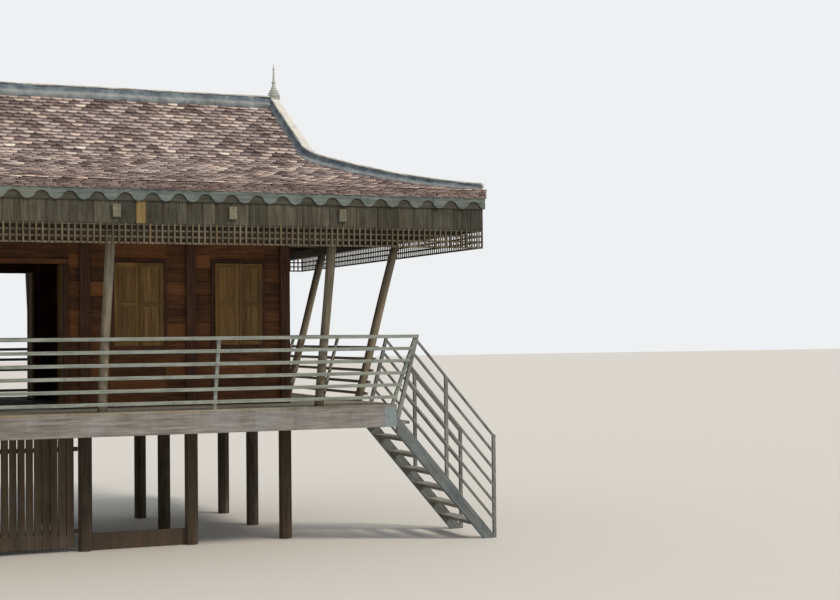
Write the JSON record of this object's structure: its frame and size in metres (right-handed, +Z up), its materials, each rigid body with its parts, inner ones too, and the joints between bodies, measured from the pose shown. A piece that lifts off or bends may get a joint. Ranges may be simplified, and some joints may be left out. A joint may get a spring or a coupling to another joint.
{
  "type": "timber stilt house",
  "caption": "Timber house on stilts with an open gallery, leaning posts, a scalloped eave board and a concave tiled hip-and-gable roof.",
  "frame": {"origin": "on level ground, midway along and across the whole outline with the stair", "axes": "+X along the front to the end with the stair, the front faces -Y, +Z up"},
  "size_m": [11.949, 7.8, 7.055],
  "materials": {
    "weathered_timber": "matte",
    "wall_timber": "matte",
    "clay_tile": "matte",
    "cement_cap": "matte"
  },
  "bodies": {
    "root": {"deck": "weathered_timber", "door_heads": "wall_timber", "door_jambs": "wall_timber", "door_leaves": "wall_timber", "end_outriggers": "weathered_timber", "end_plates": "weathered_timber", "end_purlins": "weathered_timber", "fascia_ends": "weathered_timber", "fascia_front": "weathered_timber", "fascia_rear": "weathered_timber", "finials": "cement_cap", "floor_girders": "weathered_timber", "floor_joists": "weathered_timber", "frieze_ends": "weathered_timber", "frieze_front": "weathered_timber", "frieze_rear": "weathered_timber", "gable_walls": "wall_timber", "hip_caps": "cement_cap", "hip_rafters": "weathered_timber", "lattice_ends": "weathered_timber", "lattice_front": "weathered_timber", "lattice_rear": "weathered_timber", "leaning_posts": "weathered_timber", "long_plates": "weathered_timber", "purlins": "weathered_timber", "rafters": "weathered_timber", "railing_front": "weathered_timber", "railing_left": "weathered_timber", "railing_rear": "weathered_timber", "railing_right": "weathered_timber", "ridge_cap": "cement_cap", "rim_boards": "weathered_timber", "rim_end_beams": "weathered_timber", "roof_front": "clay_tile", "roof_left": "clay_tile", "roof_posts": "weathered_timber", "roof_rear": "clay_tile", "roof_right": "clay_tile", "roof_skirts": "clay_tile", "skirt_rafters": "weathered_timber", "stair_railings": "weathered_timber", "stair_stringers": "weathered_timber", "stair_treads": "weathered_timber", "stilts": "weathered_timber", "tie_beams": "weathered_timber", "undercroft_screen": "weathered_timber", "verge_caps": "cement_cap", "wall_ends": "wall_timber", "wall_front": "wall_timber", "wall_posts": "wall_timber", "wall_rear": "wall_timber", "window_jambs": "wall_timber", "window_panels": "wall_timber", "window_rails": "wall_timber", "window_shutters": "wall_timber"}
  },
  "joints": []
}
